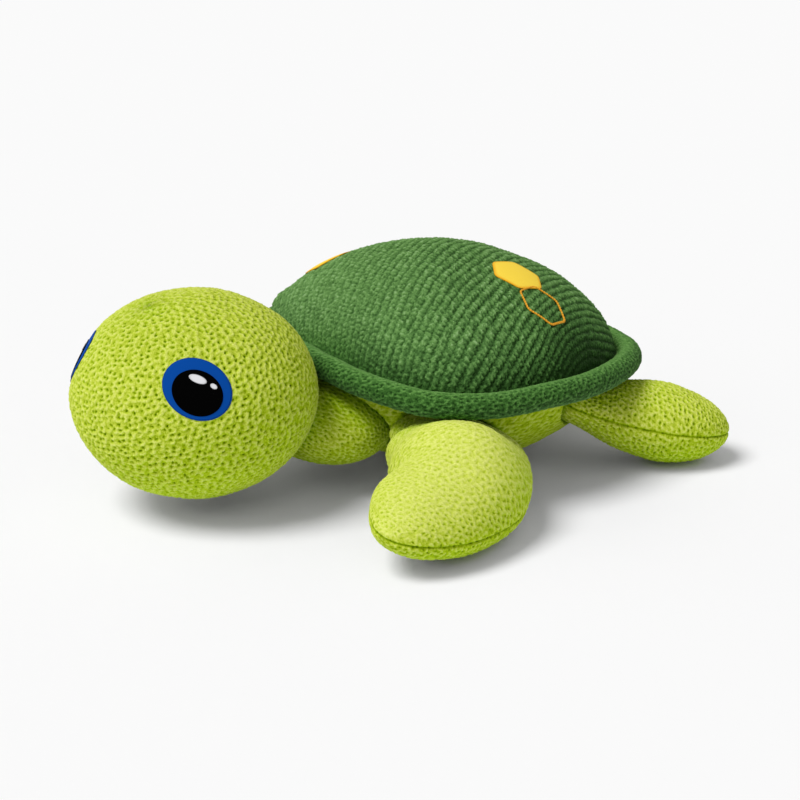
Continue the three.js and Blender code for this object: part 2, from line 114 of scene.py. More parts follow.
def makeCloth(name, slot, look):
    # yarn, felt and thread: the colour's place on the ramp is the mesh's "stitch" value + fibreTint x (noise - 0.5),
    # and the same noise is the bump of the fibres
    material, tree = newMaterial(name)
    place = addNode(tree, "TexCoord")["Object"]
    stitch = addNode(tree, "Attribute", attribute_name="stitch")["Fac"]
    fibre = addNode(tree, "TexNoise", {
        "Vector": place, "Scale": 1 / (look["fibreSize"] * mm), "Detail": look["fibreDetail"],
        "Roughness": look["fibreRoughness"]})["Fac"]
    fibreOff = addNode(tree, "Math", {0: fibre, 1: -0.5}, operation="ADD")[0]
    mixed = addNode(tree, "Math", {0: fibreOff, 1: look["fibreTint"], 2: stitch}, operation="MULTIPLY_ADD")[0]
    colour = addNode(tree, "ValToRGB", {"Fac": mixed})["Color"]
    stops = colour.node.color_ramp.elements
    for i, (at, hexColour) in enumerate(look["colours"]):
        stop = stops[i] if i < 2 else stops.new(at)
        stop.position, stop.color = at, linear(hexColour)
    if "fuller" in look:
        colour = addBatchTintAndShade(tree, look, place, colour)
    bump = addNode(tree, "Bump", {
        "Height": fibre, "Distance": look["fibreHeight"] * mm, "Strength": look["fibreStrength"]})["Normal"]
    shader = addNode(tree, "BsdfPrincipled", {
        "Base Color": colour, "Roughness": look["roughness"], "Specular IOR Level": look["specular"],
        "Sheen Weight": look["sheen"], "Sheen Roughness": 0.5, "Sheen Tint": linear(look["sheenColour"]),
        "Normal": bump})["BSDF"]
    addNode(tree, "OutputMaterial", {"Surface": shader})
    return material, slot


def addBatchTintAndShade(tree, look, place, colour):
    # value = 1 + patchTint x (noise - 0.5): the batches of yarn differ a little
    patch = addNode(tree, "TexNoise", {"Vector": place, "Scale": 1 / (look["patchSize"] * mm), "Detail": 2.0})
    patchOff = addNode(tree, "Math", {0: patch["Fac"], 1: -0.5}, operation="ADD")[0]
    value = addNode(tree, "Math", {0: patchOff, 1: look["patchTint"], 2: 1.0}, operation="MULTIPLY_ADD")[0]
    # light thrown more than a few millimetres loses most of its green, and the paper's shadow stays grey
    ray = addNode(tree, "LightPath")
    far = addNode(tree, "Math", {0: ray["Ray Length"], 1: look["thrownFrom"] * mm}, operation="GREATER_THAN")[0]
    farRay = addNode(tree, "Math", {0: ray["Is Diffuse Ray"], 1: far}, operation="MULTIPLY")[0]
    thrown = addNode(tree, "Math", {0: farRay, 1: -look["thrownLoss"], 2: 1.0}, operation="MULTIPLY_ADD")[0]
    # painted shade: where a side is turned away from the key light, or lies in a gap between pieces where shade
    # falls, the yarn is
    # # painted fuller in colour and a little greener. The painted shade is the larger of the mesh's own value and
    # gapStart -
    # # gapGain x openness, and saturation = 1 + fuller x the painted shade
    turnedFromLight = addNode(tree, "Attribute", attribute_name="paintedShade")["Fac"]
    openness = addNode(tree, "AmbientOcclusion", {"Distance": look["gapReach"] * mm}, samples=6)["AO"]
    between = addNode(tree, "Math", {0: openness, 1: -look["gapGain"], 2: look["gapStart"]},
                      operation="MULTIPLY_ADD", use_clamp=True)[0]
    paintedShade = addNode(tree, "Math", {0: turnedFromLight, 1: between}, operation="MAXIMUM")[0]
    fuller = addNode(tree, "Math", {0: paintedShade, 1: look["fuller"], 2: 1.0}, operation="MULTIPLY_ADD")[0]
    strength = addNode(tree, "Math", {0: fuller, 1: thrown}, operation="MULTIPLY")[0]
    hue = addNode(tree, "Math", {0: paintedShade, 1: look["greener"], 2: 0.5}, operation="MULTIPLY_ADD")[0]
    return addNode(tree, "HueSaturation", {
        "Color": colour, "Hue": hue, "Saturation": strength, "Value": value})["Color"]


# Brushed acrylic yarn, knitted: fully matt, painted paler on top of each stitch and fuller in colour down in it,
# painted light and shade in its relief.
# Sizes here are millimetres. The real fibres, of yarn, felt and thread alike, are 0.02 to 0.05 thick, and drawn 0.5
# to 0.7 wide to show.
yarn = {"fibreSize": 0.7, "fibreDetail": 3.0, "fibreRoughness": 0.6, "fibreHeight": 0.45, "fibreStrength": 0.9,
        "patchTint": 0.1, "roughness": 0.92, "specular": 0.08, "thrownFrom": 4.0, "thrownLoss": 0.92,
        "gapReach": 30.0, "gapStart": 1.3, "gapGain": 1.6}
lightYarn = makeCloth("light_green_acrylic_yarn", "light_knit", dict(
    yarn, colours=[(0.0, "#586e04"), (0.35, "#9fb519"), (0.62, "#c8d749"), (1.0, "#e9ef86")], fibreTint=0.75,
    patchSize=22, fuller=0.13, greener=0.031, sheen=0.05, sheenColour="#eef5a8"))
darkYarn = makeCloth("dark_green_acrylic_yarn", "dark_knit", dict(
    yarn, colours=[(0.0, "#1a3610"), (0.35, "#436a32"), (0.65, "#69944f"), (1.0, "#98bd80")], fibreTint=0.8,
    patchSize=25, fuller=0.12, greener=0.004, sheen=0.08, sheenColour="#b6cfa2"))
# Wool felt, needled and pressed: one flat, even colour without gloss, darker where its edge is sewn down
felt = {"fibreSize": 0.6, "fibreDetail": 4.0, "fibreRoughness": 0.65, "fibreTint": 0.25, "fibreHeight": 0.15,
        "fibreStrength": 0.5, "roughness": 0.9, "specular": 0.08, "sheen": 0.0, "sheenColour": "#ffffff"}
blueFelt = makeCloth("blue_wool_felt", "blue_felt", dict(felt, colours=[(0.0, "#013a85"), (0.8, "#02479d")]))
blackFelt = makeCloth("black_wool_felt", "black_felt", dict(
    felt, colours=[(0.0, "#010101"), (0.8, "#020202")], specular=0.02))
yellowFelt = makeCloth("yellow_wool_felt", "yellow_felt", dict(
    felt, colours=[(0.0, "#f0aa1c"), (0.8, "#ffdc4a")], roughness=0.85, specular=0.1))
# Satin thread, twisted and stitched: smoother than felt, with a soft gloss along it
thread = dict(felt, fibreSize=0.5)
whiteThread = makeCloth("white_satin_thread", "white_felt", dict(
    thread, colours=[(0.0, "#c2c3c6"), (0.8, "#e3e3e6")], roughness=0.6, specular=0.3))
orangeThread = makeCloth("orange_satin_thread", "orange_thread", dict(
    thread, colours=[(0.0, "#c07a14"), (0.8, "#f0ad2c")], roughness=0.7, specular=0.2))


# Surfaces

keyLightShade = {"from": (0.06, -0.56, 0.83), "start": 0.7, "most": 0.6}  # the key light comes from up and forward; sides turned away from it are painted as in shade


def writeMesh(name, verts, loops, sizes, values, cloth, cadNodes):
    # "stitch" is how high in its stitch a point lies. The second attribute is painted shade: how far a point's side
    # is turned
    # # away from the key light, the most there is times a smooth step of start - (normal . from)
    mesh = bpy.data.meshes.new(name)
    mesh.vertices.add(len(verts))
    mesh.vertices.foreach_set("co", (verts * mm).astype(np.float32).ravel())
    mesh.loops.add(len(loops))
    mesh.loops.foreach_set("vertex_index", loops.astype(np.int32))
    mesh.polygons.add(len(sizes))
    mesh.polygons.foreach_set("loop_start", np.concatenate([[0], np.cumsum(sizes)[:-1]]).astype(np.int32))
    mesh.polygons.foreach_set("use_smooth", np.ones(len(sizes), bool))
    mesh.attributes.new("stitch", "FLOAT", "POINT").data.foreach_set("value", values.astype(np.float32))
    mesh.update(calc_edges=True)
    mesh.validate()
    normals = np.zeros(len(verts) * 3, np.float32)
    mesh.vertex_normals.foreach_get("vector", normals)
    away = keyLightShade["start"] - normals.reshape(-1, 3) @ unit(keyLightShade["from"])
    paintedShade = keyLightShade["most"] * smoothStep(away)
    mesh.attributes.new("paintedShade", "FLOAT", "POINT").data.foreach_set("value", paintedShade)
    mesh.materials.append(cloth[0])
    piece = bpy.data.objects.new(name, mesh)
    bpy.context.scene.collection.objects.link(piece)
    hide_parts(*cadNodes)
    return piece


def gridFaces(rows, cols, closed):
    # one quad for each step of a grid of rings that wrap round. If closed, the last ring joins the first.
    i, j = np.meshgrid(np.arange(rows if closed else rows - 1), np.arange(cols), indexing="ij")
    nextI, nextJ = (i + 1) % rows, (j + 1) % cols
    corners = [i * cols + j, i * cols + nextJ, nextI * cols + nextJ, nextI * cols + j]
    return np.stack(corners, -1).reshape(-1, 4)


def addPiece(name, points, cloth, cadNodes, stitch):
    # a grid of rings, where a middle point, the mean of a ring, closes the first and the last one
    rows, cols = points.shape[:2]
    verts, values = points.reshape(-1, 3), stitch.reshape(-1)
    faces = gridFaces(rows, cols, False)
    loops, sizes = [faces.ravel()], [np.full(len(faces), 4)]
    ring = np.arange(cols)
    for row, step in ((0, -1), (rows - 1, 1)):
        ends = [row * cols + ring, row * cols + (ring + 1) % cols][::step]
        loops.append(np.stack([np.full(cols, len(verts)), *ends], -1).ravel())
        sizes.append(np.full(cols, 3))
        verts = np.vstack([verts, points[row].mean(0)])
        values = np.append(values, values[row * cols:(row + 1) * cols].mean())
    return writeMesh(name, verts, np.concatenate(loops), np.concatenate(sizes), values, cloth, cadNodes)


def addLoop(name, points, cloth, cadNodes, stitch):
    # a grid of rings whose last joins its first, with the rings the other way round
    faces = gridFaces(*points.shape[:2], True)[:, [0, 3, 2, 1]]
    return writeMesh(name, points.reshape(-1, 3), faces.ravel(), np.full(len(faces), 4), stitch.reshape(-1),
                     cloth, cadNodes)


def discProfile(rings, edgeShare, startAngle, size):
    # a disc's rings as shares of its outline: out on top, round the edge, and back underneath. Its crown is 1 on top,
    # falls as half a cosine round the edge, and is 0 underneath. Its tone falls from 1 to 0 at the edge.
    share = np.concatenate([np.linspace(0.02, 0.97, rings), edgeShare, np.linspace(0.97, 0.02, 8)])[:, None]
    fall = 0.5 + 0.5 * np.cos(np.linspace(startAngle, math.pi, len(edgeShare)))
    crown = np.concatenate([np.ones(rings), fall, np.zeros(8)])[:, None]
    return share, crown, np.clip((1 - share) * size, 0, 1) * (crown > 0.6)


def gridNormals(points, outFrom):
    # cross product of the steps along and across the grid, turned away from outFrom
    across = np.roll(points, -1, 1) - np.roll(points, 1, 1)
    along = np.gradient(points, axis=0)
    normal = np.cross(across, along)
    length = sizeOf(normal)[..., None]
    outward = unit(points - outFrom)
    normal = np.where(length > 1e-9, normal / np.maximum(length, 1e-9), outward)
    return np.where((normal * outward).sum(-1, keepdims=True) < 0, -normal, normal)


def lumps(points, size, seed):
    # fibre filling settles unevenly: a sum of sines in eight fixed directions, from about -1 to 1
    waves = np.random.default_rng(seed)
    directions = unit(waves.normal(size=(8, 3))) * (math.tau / (size * waves.uniform(0.7, 1.4, (8, 1))))
    return np.sin(points @ directions.T + waves.uniform(0, math.tau, 8)).sum(-1) / 4


def scatter(a, b):
    # a fixed random share from 0 to 1 for each pair of whole numbers: what follows the point in a large sine
    x = np.sin(a * 12.9898 + b * 78.233) * 43758.5453
    return x - np.floor(x)


def loopStitches(arc, turn, ringLength, knit):
    # Stitches worked in rounds, in staggered rows. Each is an oval loop of yarn, prouder on one side, with a comma of
    # shade inside the other. The height, from 0 to 1, is a middle level, plus a flat bell across the yarn of the
    # highest loop, less a bell across the deepest comma.
    rowAt = arc / knit["rowHeight"]
    rowMiddles = (np.arange(-1, int(rowAt.max()) + 2) + 0.5) * knit["rowHeight"]
    counts, current = [], 5.0
    for wanted in np.interp(rowMiddles, arc, ringLength) / knit["stitchWidth"]:
        # a row has as many stitches as the last, until it would need 2 or 9% more or fewer
        if abs(wanted - current) > max(2.0, 0.09 * wanted):
            current = max(5.0, round(wanted))
        counts.append(current)
    counts = np.array(counts)
    strand, gap = np.zeros((2, len(arc), len(turn)))
    for rowStep in (-1, 0, 1):
        row = np.floor(rowAt) + rowStep
        count = counts[np.clip(row.astype(int) + 1, 0, len(counts) - 1)][:, None]
        stitchAt = turn[None] * count + (0.5 * (row % 2) + 0.3 * scatter(row, row * 0 + 5))[:, None]
        for side in (-1, 0, 1):
            which = np.floor(stitchAt) + side
            chance = [scatter(row[:, None] + 41 * n, which % count) for n in range(4)]
            across = (stitchAt - which - 0.5 - knit["stray"] * (chance[0] - 0.5)) * knit["stitchWidth"]
            along = ((rowAt - row - 0.5)[:, None] - knit["stray"] * (chance[1] - 0.5)) * knit["rowHeight"]
            out = np.hypot(across / knit["loopWidth"], along / knit["loopHeight"]) * 2  # 1 on the yarn's middle
            bearing = np.arctan2(along, across)
            proud = np.clip(0.55 + 0.6 * np.cos(bearing + 1.0 + 2.6 * (chance[2] - 0.5)), 0, 1)
            ply = 0.1 * np.cos(7 * bearing + 6 * chance[3])
            offYarn = (out - 1) * (knit["loopWidth"] + knit["loopHeight"]) / 4
            strand = np.maximum(strand, bell(offYarn, knit["yarn"] / 2, 4) * (proud + ply))
            facing = np.clip(np.cos(bearing - 2.1 - 2.4 * (chance[3] - 0.5)), 0, 1) ** 1.3
            comma = bell(out - knit["gapAt"], knit["gapWidth"]) * facing
            gap = np.maximum(gap, comma * (0.45 + 0.55 * chance[2]))
    if knit.get("poleFade"):  # the commas fade out towards both poles
        gap *= np.clip(np.minimum(arc, arc[-1] - arc) / knit["poleFade"], 0, 1)[:, None]
    fuzz = knit["fuzz"] * (scatter(np.arange(len(arc))[:, None], np.arange(len(turn))[None] + 0.5) - 0.5)
    return np.clip(0.5 + 0.3 * strand * (1 - 0.7 * gap) - 0.6 * gap + fuzz, 0, 1)


def ribStitches(across, along, knit, calm=0.0):
    # Ribs of a straight knitted cloth. A ridge is a power of a cosine across the rib, and wavers from stitch to
    # stitch. It bears slanting strands in a V, a cosine along it, and tufts of random height. Where the cloth is
    # calm it fades to a middle level. The height runs from 0 to 1.
    ribAt, bumpAt = across / knit["ribPitch"], along / knit["bumpLength"]
    rib, stitch = np.floor(ribAt), np.floor(bumpAt)
    share = bumpAt - stitch
    waver = scatter(rib, stitch) * (1 - share) + scatter(rib, stitch + 1) * share
    off = (ribAt - rib - 0.5) * 2 + knit["zigzag"] * (np.sin(math.tau * bumpAt) + 2.2 * (waver - 0.5))
    ridge = np.clip(np.cos(off * math.pi / 2), 0, 1) ** knit["ridgePower"]
    ridge = ridge * (1 - calm) + knit["calmLevel"] * calm
    strands = np.cos(math.tau * (bumpAt + 0.4 * np.abs(off)))
    tuft = scatter(3 * rib + np.floor(1.5 * off), np.floor(2 * bumpAt)) - 0.5
    fuzz = scatter(np.floor(across / 0.8), np.floor(along / 0.9)) - 0.5
    height = 0.1 + ridge * (0.5 + knit["strand"] * strands + knit["tuft"] * tuft) + knit["fuzz"] * fuzz
    return np.clip(height, 0, 1)


# Shapes of the part, in the CAD's own sizes. A limb's shoulder, pinch and crest are each a place and a reach, as
# shares of its length, and how far the surface moves there.

shell = {"halfWidth": 96.3, "rearLength": 95.5, "frontLength": 77.2, "centreY": -4.0, "frontPower": 2.8,
         "taperShare": 0.137, "height": 54.2, "pitch": 5.4, "saddle": 1.1, "wave": 1.2, "rollHalfWidth": 6.9,
         "rollHalfHeight": 6.2, "rise": 53.4, "power": 1.13, "lean": 0.05, "seam": 0.3, "cloth": 2.0}
body = {"centre": np.array([0, 0, 47.0]), "radii": np.array([72, 80, 47.5])}
head = {"centre": np.array([11.1, -146.4, 55.8]), "radii": np.array([57.3, 57.3, 48.1]), "turn": 18.75}
neck = {"centre": np.array([3, -76.5, 30.5]), "radii": np.array([45, 32, 20.5])}
frontFlipper = {"line": np.array([[56.5, -39.5, 28.6], [104, -36.5, 19.4], [138.5, -118, 21.5]]),
                "halfWidth": 33.3, "halfThickness": 22.0, "rootWidth": 0.93, "rootThickness": 0.6,
                "swelledAt": 0.32, "fullAt": 0.52, "underside": 0.95, "roll": -15.0,
                "shoulder": (0.3, 0.12, 3.2), "pinch": (0.68, 0.09, -5.0), "crest": (0.53, 0.15, 10.5),
                "smoothTo": 0.78, "paintedTopLight": 0.18, "rows": 265, "blendLength": 14}
rearFlipper = {"line": np.array([[50, 39.5, 34], [63.4, 60.9, 21.7], [84.3, 111.2, 14.9]]),
               "halfWidth": 26.0, "halfThickness": 20.0, "rootWidth": 0.95, "rootThickness": 0.58,
               "swelledAt": 0.63, "fullAt": 0.63, "underside": 0.96, "roll": -4.5,
               "smoothTo": 0.0, "paintedTopLight": 0.02, "rows": 215, "blendLength": 12}
shellMiddle = np.array([0, shell["centreY"], shell["height"]])
baseLift = shell["cloth"] / 2 + shell["seam"]


def rimCentre(angle):
    # an oval in plan, a blunt power oval in front, whose height follows the pitch, saddle and wave of the shell
    across, along = np.cos(angle), np.sin(angle)
    power = np.where(along < 0, shell["frontPower"], 2.0)
    reach = (np.abs(across) ** power + np.abs(along) ** power) ** (-1 / power)
    length = np.where(along < 0, shell["frontLength"], shell["rearLength"])
    back = np.sign(along) * (np.abs(along) * reach) ** (power / 2)
    x = shell["halfWidth"] * across * reach * (1 - shell["taperShare"] * back)
    y = shell["centreY"] + length * along * reach
    z = shell["height"] - shell["pitch"] * back + shell["saddle"] * (1 - 2 * back ** 2)
    return np.stack([x, y, z + shell["wave"] * back * (3 - 4 * back ** 2)], -1)


def rimFrame(angle):
    # the rim's centre line, and the level direction square to the step from just before a point to just after it
    step = math.pi / 80
    along = rimCentre(angle + step) - rimCentre(angle - step)
    return rimCentre(angle), unit(np.stack([along[..., 1], -along[..., 0], 0 * along[..., 0]], -1))


def baseEdge(angle, inset=0.0):
    # the rim's centre line moved inward by the roll's half width, the seam and the inset
    centre, outward = rimFrame(angle)
    return centre - outward * (shell["rollHalfWidth"] + shell["seam"] + inset)


evenAngles = np.linspace(0, math.tau, 2880, endpoint=False)
edgeTable = baseEdge(evenAngles) - shellMiddle
edgeBearing = np.unwrap(np.arctan2(edgeTable[:, 1], edgeTable[:, 0]))


def edgeToward(x, y):
    # for a place in plan, the edge in its direction: the share of the way out to it, its height and its angle, all
    # looked up in the table by the bearing from the shell's middle
    bearing = np.arctan2(y - shellMiddle[1], x)
    bearing = edgeBearing[0] + (bearing - edgeBearing[0]) % math.tau
    stops = np.append(edgeBearing, edgeBearing[0] + math.tau)
    edge = [np.interp(bearing, stops, np.append(column, column[0])) for column in edgeTable.T]
    share = np.hypot(x, y - shellMiddle[1]) / np.hypot(edge[0], edge[1])
    return share, edge[2], np.interp(bearing, stops, np.append(evenAngles, math.tau))


def domeAt(x, y):
    # height of the dome: the edge's times the share, plus the rise times (1 - share ** (2 / power)) ** (power / 2)
    share, height, angle = edgeToward(x, y)
    share = np.minimum(1, share)
    power = shell["power"] - shell["lean"] * np.sin(angle)
    rise = (1 - share ** (2 / power)) ** (power / 2)
    return shellMiddle[2] + height * share + baseLift + (shell["rise"] - baseLift) * rise


def baseAt(x, y):
    # height of the shallow cone that the shell's base lies on: the edge's height times the share
    share, height = edgeToward(x, y)[:2]
    return shellMiddle[2] + height * share


def domeNormal(x, y):
    # the slopes of the dome, as differences over 1 mm, tilt the normal away from upright
    slopeX = domeAt(x + 0.5, y) - domeAt(x - 0.5, y)
    slopeY = domeAt(x, y + 0.5) - domeAt(x, y - 0.5)
    return unit(np.stack([-slopeX, -slopeY, 1 + 0 * slopeX], -1))


def limbStations(limb, count, capCount, grow=0.0):
    # the middle line is a quadratic curve. The root is a half round about the line it bends on, and past the fullest
    # place the section shrinks as a quarter ellipse to the tip.
    root, bend, tip = limb["line"]
    share = 1 - (1 - np.linspace(0, 1, count)) ** 1.5
    swell = smoothStep(share / limb["swelledAt"])
    pastFull = np.clip((share - limb["fullAt"]) / (1 - limb["fullAt"]), 0, 1)
    roundOff = np.sqrt(np.clip(1 - pastFull ** 2, 0, 1))
    s = share[:, None] * (1 + grow / (2 * np.linalg.norm(tip - bend)))
    middle = (1 - s) ** 2 * root + 2 * s * (1 - s) * bend + s ** 2 * tip
    forward = unit((1 - s) * (bend - root) + s * (tip - bend))
    rootWidth = limb["halfWidth"] * limb["rootWidth"] + grow
    rootThickness = limb["halfThickness"] * limb["rootThickness"] + grow
    width = (rootWidth + (limb["halfWidth"] + grow - rootWidth) * swell) * roundOff
    thickness = (rootThickness + (limb["halfThickness"] + grow - rootThickness) * swell) * roundOff
    capAngle = np.linspace(math.pi / 2, 0, capCount, endpoint=False)
    capMiddle = middle[0] - forward[0] * rootThickness * np.sin(capAngle)[:, None]
    middle = np.vstack([capMiddle, middle])
    forward = np.vstack([np.repeat(forward[:1], capCount, 0), forward])
    level = unit(np.cross(upward, forward))
    side, over = turned(level, np.cross(forward, level), -limb["roll"])
    return {"middle": middle, "forward": forward, "side": side, "over": over,
            "width": np.concatenate([rootWidth * np.cos(capAngle), width]),
            "thickness": np.concatenate([rootThickness * np.cos(capAngle), thickness]),
            "share": np.concatenate([0 * capAngle, share])}


def tubeDepth(points, stations, gap):
    # the least share of the way out of a tube's oval sections, of those beside the point: below 1 is inside
    spacing = sizeOf(np.gradient(stations["middle"], axis=0)) * 1.6 + 0.4
    off = points[:, None] - stations["middle"][None]
    side = (off * stations["side"]).sum(-1) / (stations["width"] + gap)
    over = (off * stations["over"]).sum(-1) / (stations["thickness"] + gap)
    beside = np.abs((off * stations["forward"]).sum(-1)) < spacing
    return np.where(beside, np.hypot(side, over), farOff).min(1)


def pressIn(points, stations, gap, target, stepSize=0.7, tries=60):
    # a point inside a neighbour moves towards the target, step by step, until it is clear of it
    flat = points.reshape(-1, 3).copy()
    margin = 45  # only points this near the tube's middle line are tried
    low, high = stations["middle"].min(0) - margin, stations["middle"].max(0) + margin
    near = np.where(((flat > low) & (flat < high)).all(1))[0]
    near = near[tubeDepth(flat[near], stations, gap) < 1]
    for attempt in range(tries):
        if not len(near):
            break
        flat[near] += unit(target - flat[near]) * stepSize
        near = near[tubeDepth(flat[near], stations, gap) < 1]
    return flat.reshape(points.shape)


def eggGrid(shape, knit):
    # an egg in rounds about a pole, which leans towards -Y: its centre plus its radii times the direction of each
    # point. With it come the mean arc from the start pole, each ring's length and the turn.
    rows, cols = knit["rows"], knit["cols"]
    over = np.linspace(0, math.pi, rows + 2)[1:-1]
    turn = np.arange(cols) / cols
    ring = np.sin(over)[:, None]
    first, second, third = {"z": (0, 1, 2), "y": (2, 0, 1)}[knit["pole"]]
    direction = np.zeros((rows, cols, 3))
    direction[..., first] = ring * np.cos(math.tau * turn)
    direction[..., second] = ring * np.sin(math.tau * turn)
    direction[..., third] = -np.cos(over)[:, None] + 0 * direction[..., 0]
    direction[..., 1], direction[..., 2] = turned(direction[..., 1], direction[..., 2], knit["poleLean"])
    points = shape["centre"] + direction * shape["radii"]
    steps = sizeOf(np.diff(points, axis=0)).mean(1)
    arc = np.concatenate([steps[:1], steps[0] + np.cumsum(steps)])
    return points, arc, sizeOf(np.roll(points, -1, 1) - points).sum(1), turn


# Shell patches: a whole hexagon and a smaller outline beside it, in two pairs. A pair is its x, y and turn.

patches = {"radius": 14.2, "thickness": 0.4, "gap": 0.05, "puff": 0.35, "edge": 2.6, "rings": 24, "arcs": 120,
           "outline": 0.87, "outlineTurn": 15.0, "overlap": 0.9, "line": 1.1, "outlineArcs": 480, "twists": 52,
           "pairs": {"left": (40.0, 12.0, 154.0), "right": (-61.0, -36.5, 68.0)}}
apothem = math.cos(math.pi / 6)


def patchFrame(x, y, turnDegrees):
    # a pair's middle on the dome, and the directions along and across it
    normal = domeNormal(x, y)
    level = unit(np.cross(upward, normal))
    first, second = turned(level, np.cross(normal, level), -turnDegrees)
    return np.array([x, y, domeAt(x, y)]), first, second


def domeLumps(points):
    # how far the shell's uneven filling moves the dome and the patches on it
    return domeKnit["lumps"] * lumps(points, 38, 7)


def onDome(frameOfPair, u, v, height):
    # offsets in the patch's plane are dropped onto the dome, and lifted off it
    middle, first, second = frameOfPair
    flat = middle + first * u[..., None] + second * v[..., None]
    surface = np.stack([flat[..., 0], flat[..., 1], domeAt(flat[..., 0], flat[..., 1])], -1)
    rise = height + domeLumps(surface)
    return surface + domeNormal(flat[..., 0], flat[..., 1]) * rise[..., None]


def underPatch(points):
    # 1 where a whole hexagon covers the dome and 0 outside, with a soft edge of 1 mm
    covered = np.zeros(points.shape[:-1])
    sides = math.pi / 6 + np.arange(6) * math.pi / 3
    for pair in patches["pairs"].values():
        middle, first, second = patchFrame(*pair)
        u, v = (points - middle) @ first, (points - middle) @ second
        out = (u[..., None] * np.cos(sides) + v[..., None] * np.sin(sides)).max(-1)
        covered = np.maximum(covered, np.clip(0.5 + patches["radius"] * apothem - out, 0, 1))
    return covered


def hexagonEdge(radius, arcs):
    # straight runs between six corners, which are rounded by the mean over a short stretch of the edge
    at, corner = np.arange(arcs) / arcs * 6, np.arange(7)
    edge = radius * np.stack([np.interp(at, corner, wave(corner * math.pi / 3)) for wave in (np.cos, np.sin)])
    reach = arcs // 36
    return sum(np.roll(edge, step, 1) for step in range(-reach, reach + 1)) / (2 * reach + 1)


def makePatches(word, pair):
    # the whole hexagon is a felt disc, a little puffed by 1 - share ** 4, and pulled down where its edge is stitched
    place = patchFrame(*pair)
    hexX, hexY = hexagonEdge(patches["radius"], patches["arcs"])
    share, crown, tone = discProfile(patches["rings"], np.full(7, 0.985), 0.4, patches["radius"] / patches["edge"])
    puff = patches["puff"] * (1 - share ** 4) * (crown == 1)
    height = patches["gap"] + patches["thickness"] * crown + puff + 0 * hexX
    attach(addPiece(f"{word}Hexagon", onDome(place, share * hexX, share * hexY, height), yellowFelt,
                     [f"{word}_filled_patch"], tone + 0 * hexX), "trunk")
    # the outline is a twisted thread: a round section carried along the hexagon's edge, over the ribs
    small = patches["radius"] * patches["outline"]
    pitch = (patches["radius"] + small) * apothem - patches["overlap"]
    arcs = patches["outlineArcs"]
    hexX, hexY = turned(*hexagonEdge(small - patches["line"] / 2, arcs), patches["outlineTurn"])
    around = math.tau * np.arange(12)[:, None] / 12
    out = 1 + patches["line"] / 2 * np.cos(around) / small
    twist = np.cos(patches["twists"] * (np.arange(arcs) / arcs * math.tau) + around)
    rise = 0.35 + 0.42 * np.sin(around) + 0.1 * twist
    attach(addLoop(f"{word}HexagonOutline", onDome(place, out * hexX, out * hexY + pitch, rise), orangeThread,
                    [f"{word}_outline_patch"], 0.55 + 0.35 * twist), "trunk")


# Shell. Shades are shares of the way up the colour ramp, and a drop, bend or swell is a bell curve round its place.

rimKnit = {"rowHeight": 2.2, "stitchWidth": 3.2, "loopWidth": 2.6, "loopHeight": 1.8, "yarn": 1.1, "gapAt": 0.6,
           "gapWidth": 0.4, "stray": 0.8, "fuzz": 0.24, "relief": 1.1, "cols": 1200, "round": 80, "sunk": 0.1,
           "shade": 0.08, "outerPaintedShade": 0.24, "topTurn": 2.6, "topReach": 0.45, "topFlat": 0.6, "litTopLevel": 0.66,
           "lumps": 0.35, "dropAt": (-86.0, -58.0), "dropReach": 24.0, "drop": 3.0}
domeKnit = {"ribPitch": 4.6, "bumpLength": 2.7, "zigzag": 0.2, "ridgePower": 0.7, "strand": 0.09, "tuft": 0.4,
            "fuzz": 0.26, "relief": 1.7, "calm": 0.6, "calmLevel": 0.72, "ribTurn": 35.0, "waver": 1.0,
            "bendAt": (80.0, 26.0, 62.0), "bendReach": 24.0, "bend": 9.0, "bendFlat": 0.35,
            "swellAt": (-80.0, -56.0, 64.0), "swellReach": 10.5, "swell": 5.0, "lumps": 0.35, "pressed": 0.1,
            "tuck": 1.2, "drawnReach": 2.5, "drawnShade": 0.6, "paintedShading": 0.03, "aheadLight": 0.12, "bendShade": 0.14,
            "seamPaintedShade": 0.32, "seamReach": 15, "around": 900, "over": 175, "under": 14}
baseKnit = {"around": 260, "steps": 40, "relief": 0.35, "ribPitch": 3.6, "thickness": 0.9}


